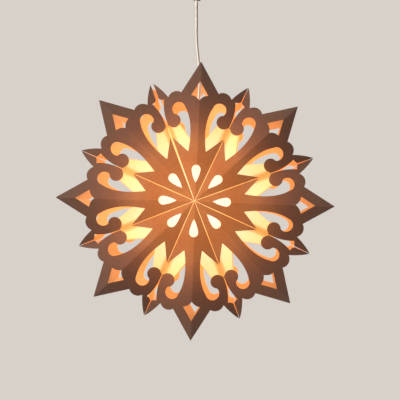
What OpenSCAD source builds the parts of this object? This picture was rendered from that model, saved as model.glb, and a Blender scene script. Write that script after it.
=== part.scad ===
// Paper star pendant: eight folded paper points round a hanging lamp.
// Millimetres, +Z up. The origin is on the ceiling, at the centre of the ceiling plate's top face.
// The star hangs in the XZ plane and its front faces -Y.

/* [Star] */
// Number of folded paper points
point_count = 8; // [6:1:10]
// Radius to the tips of the large points
large_tip_r = 240; // [225:1:260]
// Radius to the tips of the small points, on the seams
small_tip_r = 218; // [212:1:222]
// Half of the star's depth at its centre
centre_half_depth = 42; // [38:1:50]
// Half of the star's depth at a large tip, on the ridge
large_tip_half_depth = 30; // [26:1:36]
// Half of the star's depth at a small tip, on the seam
small_tip_half_depth = 20; // [17:1:24]
// Thickness of the paper
paper_t = 0.4; // [0.3:0.1:0.6]
// Open line between two neighbouring sheets at a seam
seam_gap = 1.4; // [0.8:0.1:2.4]
// Turn of the star on its lamp, clockwise seen from the front
hang_turn = 2.5; // [0:0.5:4]

/* [Outline between the points] */
// Along the seam to the notch beside a small point
notch_along = 186; // [180:1:190]
// Across from the seam to the notch beside a small point
notch_across = 17.5; // [16:0.5:20]
// Length of the rounded shoulder between the two notches
shoulder_w = 24; // [20:0.5:26]
// Height of the rounded shoulder
shoulder_rise = 6; // [4:0.5:8]

/* [Cut-outs on the ridge] */
// Radius to the point of the teardrop
drop_point_r = 31; // [28:1:36]
// Radius to the centre of the teardrop's round end
drop_round_r = 54; // [50:1:58]
// Width of the teardrop
drop_w = 16.6; // [12:0.2:18]
// Radius to the inner corner of the diamond
diamond_in_r = 173; // [168:1:176]
// Radius to the side corners of the diamond
diamond_side_r = 182; // [179:1:185]
// Radius to the outer corner of the diamond
diamond_out_r = 206; // [200:1:210]
// Width of the diamond
diamond_w = 29.6; // [22:0.2:31]

/* [Cut-outs on the seam] */
// Along the seam to the tip of the lancet
lancet_along = 84; // [80:1:88]
// Across from the seam to the tip of the lancet
lancet_across = 18.4; // [16:0.2:20]
// Along the seam to the point of the paper between two lancets
petal_along = 118.5; // [114:0.5:122]
// Along the seam to the centre of the round paper knob
knob_along = 143.5; // [141:0.5:146]
// Across from the seam to the centre of the round paper knob
knob_across = 13; // [12.5:0.1:14]
// Diameter of the round paper knob
knob_d = 23.6; // [20:0.2:24]
// Along the seam to the middle of the scroll's back
scroll_along = 127; // [122:1:132]
// Across from the seam to the middle of the scroll's back
scroll_across = 44.6; // [40:0.2:46]
// Along the seam to the centre of the scroll's round end
curl_along = 160; // [157:1:162]
// Across from the seam to the centre of the scroll's round end
curl_across = 28; // [26:0.2:29]
// Diameter of the scroll's round end
curl_d = 23; // [20:0.2:24]
// Along the seam to where the arrow's tail begins
arrow_tail_along = 147; // [146:1:156]
// Along the seam to the arrow's side corners
arrow_side_along = 185; // [180:1:187]
// Along the seam to the arrow's outer corner
arrow_out_along = 191; // [189:1:196]
// Width of the arrow
arrow_w = 18.4; // [12:0.2:20]

/* [Inner wall] */
// Along the seam to where two neighbouring walls meet
wall_tip_along = 202; // [198:1:205]
// Radius to the wall's fold, on the ridge
wall_fold_r = 90; // [89:0.5:92]
// Width of the wall's glue flaps
flap_w = 6; // [4:0.5:7]
// Length of the wall's glue flaps
flap_l = 17; // [10:0.5:18]
// Length of the tab that joins two neighbouring walls
tab_l = 10; // [8:0.5:12]
// Diameter of the hole for the lamp's neck in the top wall
neck_hole_d = 19; // [18.2:0.2:22]

/* [Liner] */
// Thickness of the thin paper behind the inner cut-outs
liner_t = 0.3; // [0.2:0.1:0.5]
// Along the seam to the liner's outer end
liner_along = 150; // [142:1:152]
// Radius of the small opening at the liner's middle
liner_open_r = 8; // [5:0.5:12]

/* [Closing seam] */
// Thickness of one fastening pad
pad_t = 2; // [1.4:0.1:2.6]
// Height of one fastening pad along the tab
pad_h = 12; // [8:0.5:14]
// Distance between the two fastening pads
pad_pitch = 24; // [18:1:25]

/* [Bulb] */
// Diameter of the glass globe
globe_d = 45; // [40:1:50]
// Thickness of the glass
glass_t = 0.8; // [0.6:0.1:1.2]
// Diameter of the glass neck
bulb_neck_d = 13; // [12:0.1:13.2]
// Diameter of the screw cap
bulb_cap_d = 13.9; // [13.7:0.1:14]
// Length of the screw cap
bulb_cap_l = 20; // [18:0.5:21]

/* [Lamp holder] */
// Outer diameter of the holder
holder_d = 27; // [25:0.5:29]
// Length of the holder's sleeve
sleeve_l = 36; // [34:0.5:38]
// Wall of the holder's sleeve
sleeve_t = 1.5; // [1.2:0.1:2]
// Diameter of the holder's neck
neck_d = 12; // [11:0.2:12.6]
// Length of the holder's neck above the shoulder
neck_l = 16; // [14:0.5:20]
// Diameter of the carrier wire
wire_d = 1.8; // [1.4:0.1:2]
// Length of the carrier wire from end to end
wire_l = 68; // [60:1:70]
// Length of the tapered cord grip above the neck
grip_l = 22; // [20:1:30]

/* [Cord] */
// Diameter of the cord
cord_d = 5; // [4.5:0.1:5.4]
// Sides of the cord
cord_sides = 10; // [8:1:12]

/* [Ceiling fitting] */
// From the ceiling to the star's centre
drop = 428; // [424:1:434]
// Length of the ceiling plate
plate_l = 64; // [60:1:66]
// Width of the ceiling plate
plate_w = 18; // [16:1:22]
// Thickness of the ceiling plate
plate_t = 2; // [1.5:0.1:3]
// Distance between the plate's screw holes
screw_pitch = 50; // [44:1:52]
// Diameter of the plate's screw holes
screw_hole_d = 4.5; // [4:0.1:5.5]
// Diameter of the hook's wire
hook_d = 4; // [3.6:0.1:4.4]
// From the hook's shank to its middle, where its wire runs level
hook_bend_r = 6; // [5.5:0.1:7]
// From the ceiling to the middle of the hook's wire at its lowest point
hook_low = 26; // [25:0.5:28]
// Radius of the cord eye's ring, at the middle of its section
eye_ring_r = 7; // [6.8:0.1:8]
// Diameter of the ring's section
eye_ring_d = 4; // [3.6:0.1:4.4]
// Diameter of the cord eye's barrel
eye_barrel_d = 11; // [10:0.2:13]
// Length of the cord eye's barrel
eye_barrel_l = 15; // [12:0.5:18]
// Outer diameter of the ceiling cup at its rim
cup_d = 76; // [74:1:84]
// Height of the ceiling cup
cup_h = 52; // [51:1:56]
// Wall of the ceiling cup
cup_t = 1.8; // [1.4:0.1:2.4]
// Gap between the cup's rim and the ceiling
cup_gap = 12; // [11:0.5:14]
// Diameter of the bush in the cup's neck
bush_d = 11; // [10:0.2:12]
// Length of the bush in the cup's neck
bush_l = 12; // [9:0.5:14]

/* [Hidden] */
$fn = 64;
front_names = [for (k = [1:point_count]) str("front_sheet_", k)];
back_names = [for (k = [1:point_count]) str("back_sheet_", k)];
wall_names = [for (k = [1:point_count]) str("inner_wall_", k)];

// Clearances, how far a cutter reaches past what it cuts, and half the width of a cut-out's corner on the ridge
slip = 0.3;
snug = 0.1;
eps = 0.01;
past = 1;
blunt = 0.15;

// Angles of one point: the open seam takes the room of its two pads
closing_angle = 2 * asin((pad_t + snug) / wall_tip_along);
pitch = (360 - closing_angle) / point_count;
half_angle = pitch / 2;

// The plane of one half sheet: e1 runs along the seam, e2 across it, e3 points outwards
centre_pt = [0, 0, centre_half_depth];
seam_vec = [small_tip_r, 0, small_tip_half_depth - centre_half_depth];
ridge_vec = [
    large_tip_r * cos(half_angle), large_tip_r * sin(half_angle), large_tip_half_depth - centre_half_depth];
e1 = seam_vec / norm(seam_vec);
e3 = cross(seam_vec, ridge_vec) / norm(cross(seam_vec, ridge_vec));
e2 = cross(e3, e1);
small_len = norm(seam_vec);
large_len = norm(ridge_vec);
ridge_angle = acos(e1 * ridge_vec / large_len);
function on_ridge(r) = [r * cos(ridge_angle), r * sin(ridge_angle)];
function on_sheet(p, depth = 0) = centre_pt + p[0] * e1 + p[1] * e2 - depth * e3;

// The line where an inner wall meets a sheet, from the seam to the ridge
wall_a = [wall_tip_along, paper_t / 2];
wall_b = on_ridge(wall_fold_r);
wall_dir = (wall_b - wall_a) / norm(wall_b - wall_a);
wall_side = [-wall_dir[1], wall_dir[0]];
wall_len = norm(wall_b - wall_a);

// Heights of the lamp, from the star's centre
globe_to_cap = 6.5;
glass_in_cap = 2;
sleeve_up = 1;
core_up = 4;
contact_l = 5;
tongue_room = 1.2;
shell_t = 0.5;
glass_neck_r = bulb_neck_d / 2;
cap_low = globe_d / 2 + globe_to_cap;
sleeve_low = cap_low + sleeve_up;
sleeve_top = sleeve_low + sleeve_l;
cap_top = cap_low + bulb_cap_l;
contact_top = cap_top + contact_l;
core_low = cap_low + core_up;
core_roof = contact_top + tongue_room;
fold_height = wall_fold_r * cos(hang_turn) * large_tip_r / large_len;
fold_offset = wall_fold_r * sin(hang_turn) * large_tip_r / large_len;
wire_height = fold_height - wire_d / 2 - slip;
shoulder_top = wire_height - wire_d / 2 - snug;
neck_top = shoulder_top + neck_l;
plug_l = 12;
cord_in_plug = 6;
grip_foot = neck_top - plug_l;
grip_top = neck_top + grip_l;
cord_end = neck_top - cord_in_plug;

// Heights of the ceiling fitting, from the ceiling
ring_mid = -hook_low + hook_d / 2 + eye_ring_d / 2 + slip - eye_ring_r;
barrel_top = ring_mid - eye_ring_r;
barrel_low = barrel_top - eye_barrel_l;
cord_in_barrel = 8;
cord_start = barrel_low + cord_in_barrel;
cup_rim = -cup_gap;
cup_low = cup_rim - cup_h;

// Route of the cord, from the cord eye down to the lamp's neck: across and below the ceiling
cord_route = [
    [0, cord_start], [0, -60], [0, -85], [0, -110], [0, -128], [1.2, -150], [3.4, -173], [5, -196],
    [5, -220], [3.6, -243], [1.8, -262], [0.5, -277], [0, -290], [0, cord_end - drop]];

paper = "whitesmoke";

// Points on a quadratic curve from a to c, pulled towards b
function curve(a, b, c, n) = [for (i = [0:n]) let (t = i / n)
    (1 - t) * (1 - t) * a + 2 * (1 - t) * t * b + t * t * c];

// Points on a circle about c from one angle to another
function arc(c, r, from, to, n) = [for (i = [0:n]) let (a = from + (to - from) * i / n)
    c + r * [cos(a), sin(a)]];

// Points on a round shoulder that rises from the line a-b
function shoulder(a, b, rise, n) = let (
    half = norm(b - a) / 2,
    r = (half * half + rise * rise) / (2 * rise),
    side = [(b - a)[1], -(b - a)[0]] / (2 * half),
    c = (a + b) / 2 + (rise - r) * side,
    mid = atan2(side[1], side[0]),
    spread = asin(half / r))
    arc(c, r, mid - spread, mid + spread, n);

// Outline of one half sheet, from the centre along the seam and back just past the ridge
module sheet_outline() {
    edge = seam_gap / 2;
    bow = [3, 1.6];
    fall = 1;
    notch = [notch_along, notch_across];
    bend = [small_len + notch_along, notch_across] / 2 + bow;
    far_notch = notch + [-fall, shoulder_w];
    tip = on_ridge(large_len);
    tip_way = tip - far_notch;
    over_ridge = past / (tip_way * [-sin(ridge_angle), cos(ridge_angle)]);
    polygon(concat(
        [[edge / tan(ridge_angle) - past / sin(ridge_angle), edge]],
        curve([small_len, edge], bend, notch, 5),
        shoulder(notch, far_notch, shoulder_rise, 8),
        [tip + over_ridge * tip_way]));
}

// Half of the ornament on a seam: lancet, scroll and the round knob that they leave
module scroll_hole() {
    curl = [curl_along, curl_across];
    knob = [knob_along, knob_across];
    back = [scroll_along, scroll_across];
    back_turn = 95;
    foot_turn = -85;
    knob_turn = 35;
    step = 10;
    dip = 2;
    inside = 0.9;
    curl_back = curl + curl_d / 2 * [cos(back_turn), sin(back_turn)];
    curl_foot = curl + curl_d / 2 * [cos(foot_turn), sin(foot_turn)];
    knob_side = knob + inside * knob_d / 2 * [cos(knob_turn), sin(knob_turn)];
    difference() {
        polygon(concat(
            [[petal_along, 0], [knob_along - knob_d / 4, 0], knob],
            curve(knob_side, (knob_side + curl_foot) / 2 - [0, dip], curl_foot, 4),
            arc(curl, curl_d / 2, foot_turn + step, back_turn - step, 14),
            curve(curl_back, back, [lancet_along, lancet_across], 12)));
        translate(knob) circle(d = knob_d);
    }
}

// Half of the arrow on a seam, with a long thin tail
module arrow_hole() {
    side = [arrow_side_along, arrow_w / 2];
    tail = [arrow_tail_along, 0];
    tip = [arrow_out_along, 0];
    tail_pull = [arrow_side_along - 14, 1.6];
    head_pull = [arrow_side_along + 1, 3];
    polygon(concat(curve(tail, tail_pull, side, 6), curve(side, head_pull, tip, 4)));
}

// Teardrop on a ridge, drawn along X
module teardrop_hole() {
    r = drop_w / 2;
    lean = asin(r / (drop_round_r - drop_point_r));
    polygon(concat(
        [[drop_point_r, blunt], [drop_point_r, -blunt]],
        arc([drop_round_r, 0], r, lean - 90, 90 - lean, 15)));
}

// Diamond on a ridge, drawn along X, with its inner sides drawn in
module diamond_hole() {
    left = [diamond_side_r, diamond_w / 2];
    right = [diamond_side_r, -diamond_w / 2];
    pull = [diamond_side_r - 1, diamond_w / 5];
    polygon(concat(
        curve([diamond_in_r, -blunt], [pull[0], -pull[1]], right, 5),
        [[diamond_out_r, -blunt], [diamond_out_r, blunt]],
        curve(left, pull, [diamond_in_r, blunt], 5)));
}

// Puts a drawing on the plane of a half sheet, sunk by a depth below the outer face
module on_half_plane(depth) {
    o = on_sheet([0, 0], depth);
    rotate([0, 0, -half_angle]) multmatrix([
        [e1[0], e2[0], e3[0], o[0]],
        [e1[1], e2[1], e3[1], o[1]],
        [e1[2], e2[2], e3[2], o[2]],
        [0, 0, 0, 1]]) children();
}

// Draws a half and its mirror image on the other side of the ridge
module both_halves() {
    children();
    mirror([0, 1, 0]) children();
}

// Puts point k in its place round the star's centre, in the hanging plane
module at_point(k) {
    translate([0, 0, -drop]) rotate([90, 0, 0]) rotate([0, 0, 90 - hang_turn - (k - 1) * pitch]) children();
}

// Cuts a half off at the upright plane through the ridge, where it meets its mirror image
module cut_at_ridge() {
    reach = 2 * large_tip_r;
    intersection() {
        children();
        translate([-reach / 2, -reach, 0]) cube([2 * reach, reach, reach]);
    }
}

module half_sheet() {
    cut_at_ridge() on_half_plane(paper_t) linear_extrude(height = paper_t) difference() {
        sheet_outline();
        scroll_hole();
        arrow_hole();
        rotate(ridge_angle) {
            teardrop_hole();
            diamond_hole();
        }
    }
}

module front_sheet(k) {
    color(paper) at_point(k) both_halves() half_sheet();
}

module back_sheet(k) {
    color(paper) at_point(k) mirror([0, 0, 1]) both_halves() half_sheet();
}

// Glue flap on the inside of a sheet, along the wall line from a start, on one side of it, slanted towards the ridge
module glue_flap(start, side) {
    slant = 1.1 * flap_w * wall_dir;
    out = side * flap_w * wall_side;
    from = wall_a + start * wall_dir;
    to = from + flap_l * wall_dir;
    on_half_plane(2 * paper_t) linear_extrude(height = paper_t) polygon([from, to, to + out - slant, from + out]);
}

// One leaf of an inner wall, upright between the front and the back sheet
module wall_leaf() {
    a = on_sheet(wall_a, 1.5 * paper_t);
    b = on_sheet(wall_b, 1.5 * paper_t);
    flat = [b[0] - a[0], b[1] - a[1], 0];
    u = flat / norm(flat);
    rotate([0, 0, -half_angle]) multmatrix([
        [u[0], 0, u[1], a[0]],
        [u[1], 0, -u[0], a[1]],
        [0, 1, 0, 0],
        [0, 0, 0, 1]])
        linear_extrude(height = paper_t)
            polygon([[0, -a[2]], [norm(flat), -b[2]], [norm(flat), b[2]], [0, a[2]]]);
}

// Tab in the seam plane, where a wall is joined to its neighbour's
module wall_tab() {
    end = on_sheet([wall_tip_along + tab_l, 0], 2 * paper_t);
    root = 4 * paper_t;
    rotate([0, 0, -half_angle])
        translate([wall_tip_along * e1[0] - root, 0, -end[2]])
            cube([tab_l + root, paper_t, 2 * end[2]]);
}

module inner_wall(k) {
    ridge_room = 2;
    tail_room = 4;
    inner_flap = wall_len - flap_l - ridge_room;
    outer_flap = wall_tip_along - arrow_tail_along - flap_l - tail_room;
    color(paper) difference() {
        at_point(k) both_halves() {
            wall_leaf();
            wall_tab();
            for (turn = [0, 1]) mirror([0, 0, turn]) {
                glue_flap(inner_flap, -1);
                glue_flap(outer_flap, 1);
            }
        }
        if (k == 1)
            translate([0, 0, fold_height - drop - 4 * neck_d])
                cylinder(d = neck_hole_d, h = 8 * neck_d);
    }
}

// One pleat of a point's liner, glued to the inside of a half sheet, from near the centre out to the inner wall
module liner_pleat() {
    edge = snug / 2;
    inset = snug * wall_side;
    over_ridge = past * [-sin(ridge_angle), cos(ridge_angle)];
    end_across = wall_a[1] + (wall_tip_along - liner_along) * tan(180 - atan2(wall_dir[1], wall_dir[0]));
    fold = wall_b + inset;
    cut_at_ridge() on_half_plane(paper_t + liner_t) linear_extrude(height = liner_t)
        polygon([[liner_open_r, edge], [liner_along, edge], [liner_along, end_across] + inset, fold,
            fold + past * wall_dir, on_ridge(liner_open_r) + over_ridge]);
}

module front_liner() {
    color("cornsilk") for (k = [1:point_count]) at_point(k) both_halves() liner_pleat();
}

module back_liner() {
    color("cornsilk") for (k = [1:point_count]) at_point(k) mirror([0, 0, 1]) both_halves() liner_pleat();
}

// Two fastening pads on the outer face of a wall's tab, drawn on the seam's own side
module pad_pair() {
    border = 1;
    for (place = [-1, 1])
        translate([wall_tip_along * e1[0] + border, -pad_t, place * pad_pitch / 2 - pad_h / 2])
            cube([tab_l - 2 * border, pad_t, pad_h]);
}

module loop_pads() {
    color("white") at_point(1) mirror([0, 1, 0]) rotate([0, 0, -half_angle]) pad_pair();
}

module hook_pads() {
    color("gainsboro") at_point(point_count) rotate([0, 0, -half_angle]) pad_pair();
}

// Puts a revolved piece of the lamp on its axis, with heights from the star's centre
module on_lamp_axis() {
    translate([0, 0, -drop]) children();
}

// Outline of the bulb's glass from the globe's lowest point up to the rim in the cap
function glass_outline(r, neck_r) = let (
    waist = asin(neck_r / r) + 18,
    waist_rise = 5)
    concat(
        arc([0, 0], r, -90, 90 - waist, 28),
        [[neck_r, r * cos(waist) + waist_rise], [neck_r, cap_low + glass_in_cap]]);

module bulb_glass() {
    outer = glass_outline(globe_d / 2, glass_neck_r);
    inner = glass_outline(globe_d / 2 - glass_t, glass_neck_r - glass_t);
    turned_back = [for (i = [len(inner) - 1:-1:0]) inner[i]];
    color("ivory") on_lamp_axis() rotate_extrude() polygon(concat(outer, turned_back));
}

// Glass stem with four upright glowing rods
module bulb_filament() {
    rod_ring_r = 4;
    rod_d = 1.6;
    rod_l = 22;
    disc_t = 1.2;
    stem_r = 2.2;
    flare_t = 1.5;
    color("gold") on_lamp_axis() {
        translate([0, 0, rod_l / 2]) cylinder(r = rod_ring_r + rod_d, h = disc_t);
        translate([0, 0, rod_l / 2]) cylinder(r = stem_r, h = cap_low + eps - rod_l / 2);
        translate([0, 0, cap_low]) cylinder(r = glass_neck_r - glass_t - snug / 2, h = flare_t);
        for (turn = [0:90:270]) rotate([0, 0, turn])
            translate([rod_ring_r, 0, -rod_l / 2]) cylinder(d = rod_d, h = rod_l + eps);
    }
}

// Screw cap: a thin shell with rounded thread ridges, closed at the top by its contact
module bulb_cap() {
    r = bulb_cap_d / 2;
    bore = glass_neck_r + snug;
    eyelet_r = 3;
    roof_t = 1;
    ridges = 5;
    ridge_deep = 0.5;
    band = 4;
    step = (bulb_cap_l - band - roof_t) / ridges;
    crest = [for (i = [0:ridges - 1], t = [0:4])
        [r - ridge_deep + ridge_deep * sin(t * 45), cap_low + band + (i + t / 4) * step]];
    color("silver") on_lamp_axis() rotate_extrude() polygon(concat(
        [[bore, cap_low], [r, cap_low], [r, cap_low + band - ridge_deep]],
        crest,
        [[r - 3 * ridge_deep, cap_top], [eyelet_r, cap_top], [eyelet_r, cap_top - roof_t],
            [bore - roof_t, cap_low + glass_in_cap + roof_t + snug], [bore, cap_low + glass_in_cap + snug]]));
}

// Black glass cone and the round contact at the cap's end
module bulb_contact() {
    foot_r = bulb_cap_d / 2 - 1.8;
    top_r = 3.4;
    pin_r = 2.4;
    pin_up = 1.5;
    color("dimgray") on_lamp_axis() translate([0, 0, cap_top]) {
        cylinder(r1 = foot_r, r2 = top_r, h = contact_l - pin_up);
        cylinder(r = pin_r, h = contact_l);
    }
}

// Outer sleeve of the lamp holder, with a collar round its lower rim
module holder_sleeve() {
    r = holder_d / 2;
    collar = 1;
    collar_h = 3;
    color("white") on_lamp_axis() difference() {
        union() {
            translate([0, 0, sleeve_low]) cylinder(r = r, h = sleeve_l);
            translate([0, 0, sleeve_low]) cylinder(r = r + collar, h = collar_h);
        }
        translate([0, 0, sleeve_low - past]) cylinder(r = r - sleeve_t, h = sleeve_l + 2 * past);
    }
}

// Moulded core that holds the contacts inside the sleeve
module holder_core() {
    r = holder_d / 2 - sleeve_t - snug / 2;
    bore = bulb_cap_d / 2 + slip + shell_t + snug / 2;
    color("beige") on_lamp_axis() difference() {
        translate([0, 0, core_low]) cylinder(r = r, h = sleeve_top - core_low);
        translate([0, 0, core_low - past]) cylinder(r = bore, h = core_roof - core_low + past);
    }
}

// Screw shell of the lamp holder, round the bulb's cap
module screw_shell() {
    r = bulb_cap_d / 2 + slip;
    color("goldenrod") on_lamp_axis() translate([0, 0, core_low]) difference() {
        cylinder(r = r + shell_t, h = bulb_cap_l - core_up);
        translate([0, 0, -past]) cylinder(r = r, h = bulb_cap_l + past);
    }
}

// Flat contact under the core's roof, above the bulb's contact
module contact_tongue() {
    r = 2;
    t = tongue_room - slip;
    color("goldenrod") on_lamp_axis() translate([0, 0, contact_top + slip]) {
        cylinder(r = r, h = t);
        translate([0, -r, slip]) cube([bulb_cap_d / 2, 2 * r, t - slip]);
    }
}

// Domed cap of the lamp holder, with a flat shoulder for the wire and a neck for the cord grip
module holder_cap() {
    r = holder_d / 2;
    band = 4;
    dome_drop = 1;
    socket_r = neck_d / 3 + snug;
    socket_low = grip_foot - eps;
    shoulder_r = neck_d / 2 + 2.2 * wire_d;
    dome = curve([r, sleeve_top + band], [r, shoulder_top - dome_drop], [shoulder_r, shoulder_top], 10);
    color("white") on_lamp_axis() rotate_extrude() polygon(concat(
        [[0, sleeve_top], [r, sleeve_top]],
        dome,
        [[neck_d / 2, shoulder_top], [neck_d / 2, neck_top], [socket_r, neck_top],
            [socket_r, socket_low], [0, socket_low]]));
}

// Spring wire: a ring round the neck and two arms that reach under the fold of the top wall
module carrier_wire() {
    ring_r = neck_d / 2 + wire_d / 2 + slip;
    reach = wire_l / 2;
    swing = atan2(fold_offset, reach - ring_r);
    arm = norm([fold_offset, reach - ring_r]);
    color("silver") on_lamp_axis() translate([0, 0, wire_height]) {
        rotate_extrude() translate([ring_r, 0]) circle(d = wire_d);
        for (turn = [0, 1]) mirror([0, turn, 0])
            translate([0, ring_r, 0]) rotate([-90, 0, 0]) rotate([0, swing, 0]) cylinder(d = wire_d, h = arm);
    }
}

// Tapered grip, pressed into the neck, that the cord goes down into
module cord_grip() {
    plug_r = neck_d / 3;
    foot_r = neck_d / 2 - 0.4;
    top_r = cord_d / 2 + 1;
    color("white") on_lamp_axis() difference() {
        union() {
            translate([0, 0, grip_foot]) cylinder(r = plug_r, h = neck_top - grip_foot + eps);
            translate([0, 0, neck_top]) cylinder(r1 = foot_r, r2 = top_r, h = grip_l);
        }
        translate([0, 0, cord_end]) cylinder(d = cord_d + 2 * snug, h = grip_top);
    }
}

// Direction of the cord at ring i, level at both ends
function cord_lean(i) = let (
    last = len(cord_route) - 1,
    way = cord_route[min(i + 1, last)] - cord_route[max(i - 1, 0)])
    i == 0 || i == last ? [0, -1] : way / norm(way);

// Round tube along the cord's route
module cord() {
    rings = len(cord_route);
    points = [for (i = [0:rings - 1], s = [0:cord_sides - 1]) let (
        a = 360 * s / cord_sides,
        lean = cord_lean(i),
        across = [-lean[1], lean[0]])
        [cord_route[i][0] + cord_d / 2 * cos(a) * across[0],
            cord_d / 2 * sin(a),
            cord_route[i][1] + cord_d / 2 * cos(a) * across[1]]];
    walls = [for (i = [0:rings - 2], s = [0:cord_sides - 1], half = [0, 1]) let (
        n = (s + 1) % cord_sides,
        a = i * cord_sides + s,
        b = i * cord_sides + n,
        c = a + cord_sides,
        d = b + cord_sides)
        half == 0 ? [a, c, b] : [b, c, d]];
    ends = [for (s = [1:cord_sides - 2], end = [0, 1]) let (o = (rings - 1) * cord_sides)
        end == 0 ? [0, s, s + 1] : [o, o + s + 1, o + s]];
    color("white") polyhedron(points = points, faces = concat(walls, ends));
}

// Ring and barrel that the cord's upper end is clamped in
module cord_eye() {
    color("white") difference() {
        union() {
            translate([0, 0, ring_mid]) rotate([90, 0, 0])
                rotate_extrude() translate([eye_ring_r, 0]) circle(d = eye_ring_d);
            translate([0, 0, barrel_low]) cylinder(d = eye_barrel_d, h = eye_barrel_l);
        }
        translate([0, 0, barrel_low - past]) cylinder(d = cord_d + 2 * snug, h = cord_in_barrel + past);
    }
}

// Outline of the ceiling cup from its neck up to its rim
function cup_outline(r, neck_r) = let (
    neck_high = cup_low + bush_l,
    flare = 1,
    belly = 3)
    concat(
        [[neck_r, cup_low], [neck_r, neck_high]],
        curve([neck_r + flare, neck_high + flare], [r, neck_high + belly], [r, cup_rim], 14));

module ceiling_cup() {
    neck_r = bush_d / 2;
    outer = cup_outline(cup_d / 2, neck_r + cup_t);
    inner = cup_outline(cup_d / 2 - cup_t, neck_r);
    turned_back = [for (i = [len(inner) - 1:-1:0]) inner[i]];
    color("white") rotate_extrude() polygon(concat(outer, turned_back));
}

// Rubber bush that grips the cord in the cup's neck
module cup_bush() {
    flange_d = bush_d + 2 * cup_t - 1;
    flange_t = 1.5;
    color("gainsboro") translate([0, 0, cup_low]) difference() {
        union() {
            translate([0, 0, -flange_t]) cylinder(d = flange_d, h = flange_t);
            translate([0, 0, -eps]) cylinder(d = bush_d - snug, h = bush_l);
        }
        translate([0, 0, -flange_t - past]) cylinder(d = cord_d + 2 * snug, h = flange_t + bush_l + 2 * past);
    }
}

// Flat strap with two screw holes and a hole for the hook's shank
module ceiling_plate() {
    color("silver") translate([0, 0, -plate_t]) difference() {
        union() {
            translate([-(plate_l - plate_w) / 2, -plate_w / 2, 0]) cube([plate_l - plate_w, plate_w, plate_t]);
            for (side = [-1, 1]) translate([side * (plate_l - plate_w) / 2, 0, 0])
                cylinder(d = plate_w, h = plate_t);
        }
        for (side = [-1, 1]) translate([side * screw_pitch / 2, 0, -past])
            cylinder(d = screw_hole_d, h = plate_t + 2 * past);
        translate([0, hook_bend_r, -past]) cylinder(d = hook_d + 2 * snug, h = plate_t + 2 * past);
    }
}

// Open hook, riveted over on the plate's underside, with a level run below the origin that the eye swings on
module ceiling_hook() {
    corner_r = hook_bend_r - hook_d / 2;
    run = hook_bend_r - corner_r;
    bend_mid = -hook_low + corner_r;
    tip_l = 3;
    collar_d = hook_d + 4;
    collar_t = 1.5;
    color("silver") {
        translate([0, -run, -hook_low]) rotate([-90, 0, 0]) cylinder(d = hook_d, h = 2 * run);
        for (turn = [0, 1]) mirror([0, turn, 0]) translate([0, run, bend_mid]) rotate([0, 90, 0])
            rotate_extrude(angle = 90) translate([corner_r, 0]) circle(d = hook_d);
        translate([0, hook_bend_r, bend_mid]) cylinder(d = hook_d, h = -bend_mid);
        translate([0, -hook_bend_r, bend_mid]) rotate_extrude()
            polygon(concat([[0, 0]], [[hook_d / 2, 0]], arc([0, tip_l], hook_d / 2, 0, 90, 8)));
        translate([0, hook_bend_r, -plate_t - collar_t]) cylinder(d = collar_d, h = collar_t);
    }
}

for (k = [1:point_count]) {
    front_sheet(k);
    back_sheet(k);
    inner_wall(k);
}
front_liner();
back_liner();
loop_pads();
hook_pads();
bulb_glass();
bulb_filament();
bulb_cap();
bulb_contact();
holder_sleeve();
holder_core();
screw_shell();
contact_tongue();
holder_cap();
carrier_wire();
cord_grip();
cord();
cord_eye();
ceiling_cup();
cup_bush();
ceiling_plate();
ceiling_hook();
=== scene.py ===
"""Paper star pendant: folded, pierced sheets round a lit bulb, hung by a lamp cord from a ceiling hook.

Lengths are worked out in millimetres, as in the part's source, and put into the meshes in metres.
"""

import math

import bpy
import numpy as np
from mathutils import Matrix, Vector
from mathutils.geometry import delaunay_2d_cdt


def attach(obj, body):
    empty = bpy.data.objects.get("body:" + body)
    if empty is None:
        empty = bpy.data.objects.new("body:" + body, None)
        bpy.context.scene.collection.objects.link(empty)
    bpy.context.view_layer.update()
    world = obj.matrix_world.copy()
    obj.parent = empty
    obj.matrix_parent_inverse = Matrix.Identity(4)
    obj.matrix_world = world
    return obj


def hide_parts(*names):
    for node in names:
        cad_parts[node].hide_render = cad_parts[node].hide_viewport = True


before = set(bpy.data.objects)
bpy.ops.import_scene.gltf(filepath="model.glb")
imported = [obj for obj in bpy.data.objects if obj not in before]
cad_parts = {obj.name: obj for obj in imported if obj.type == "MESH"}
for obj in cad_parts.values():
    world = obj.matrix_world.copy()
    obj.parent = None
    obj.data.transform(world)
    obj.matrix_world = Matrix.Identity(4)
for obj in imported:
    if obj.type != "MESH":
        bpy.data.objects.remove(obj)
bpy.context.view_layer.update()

# Sizes of the star, as in the part's source
MM = 0.001
DROP = 428.0
POINTS = 8
LARGE_R, SMALL_R = 240.0, 218.0
CENTRE_DEPTH, LARGE_DEPTH, SMALL_DEPTH = 42.0, 30.0, 20.0
PAPER_T, LINER_T = 0.4, 0.3
SEAM_GAP = 1.4
HANG_TURN = math.radians(2.5)
WALL_TIP, WALL_FOLD = 202.0, 90.0
PAD_T, PAD_ROOM = 2.0, 2.1
TAB_L = 10.0

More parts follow.
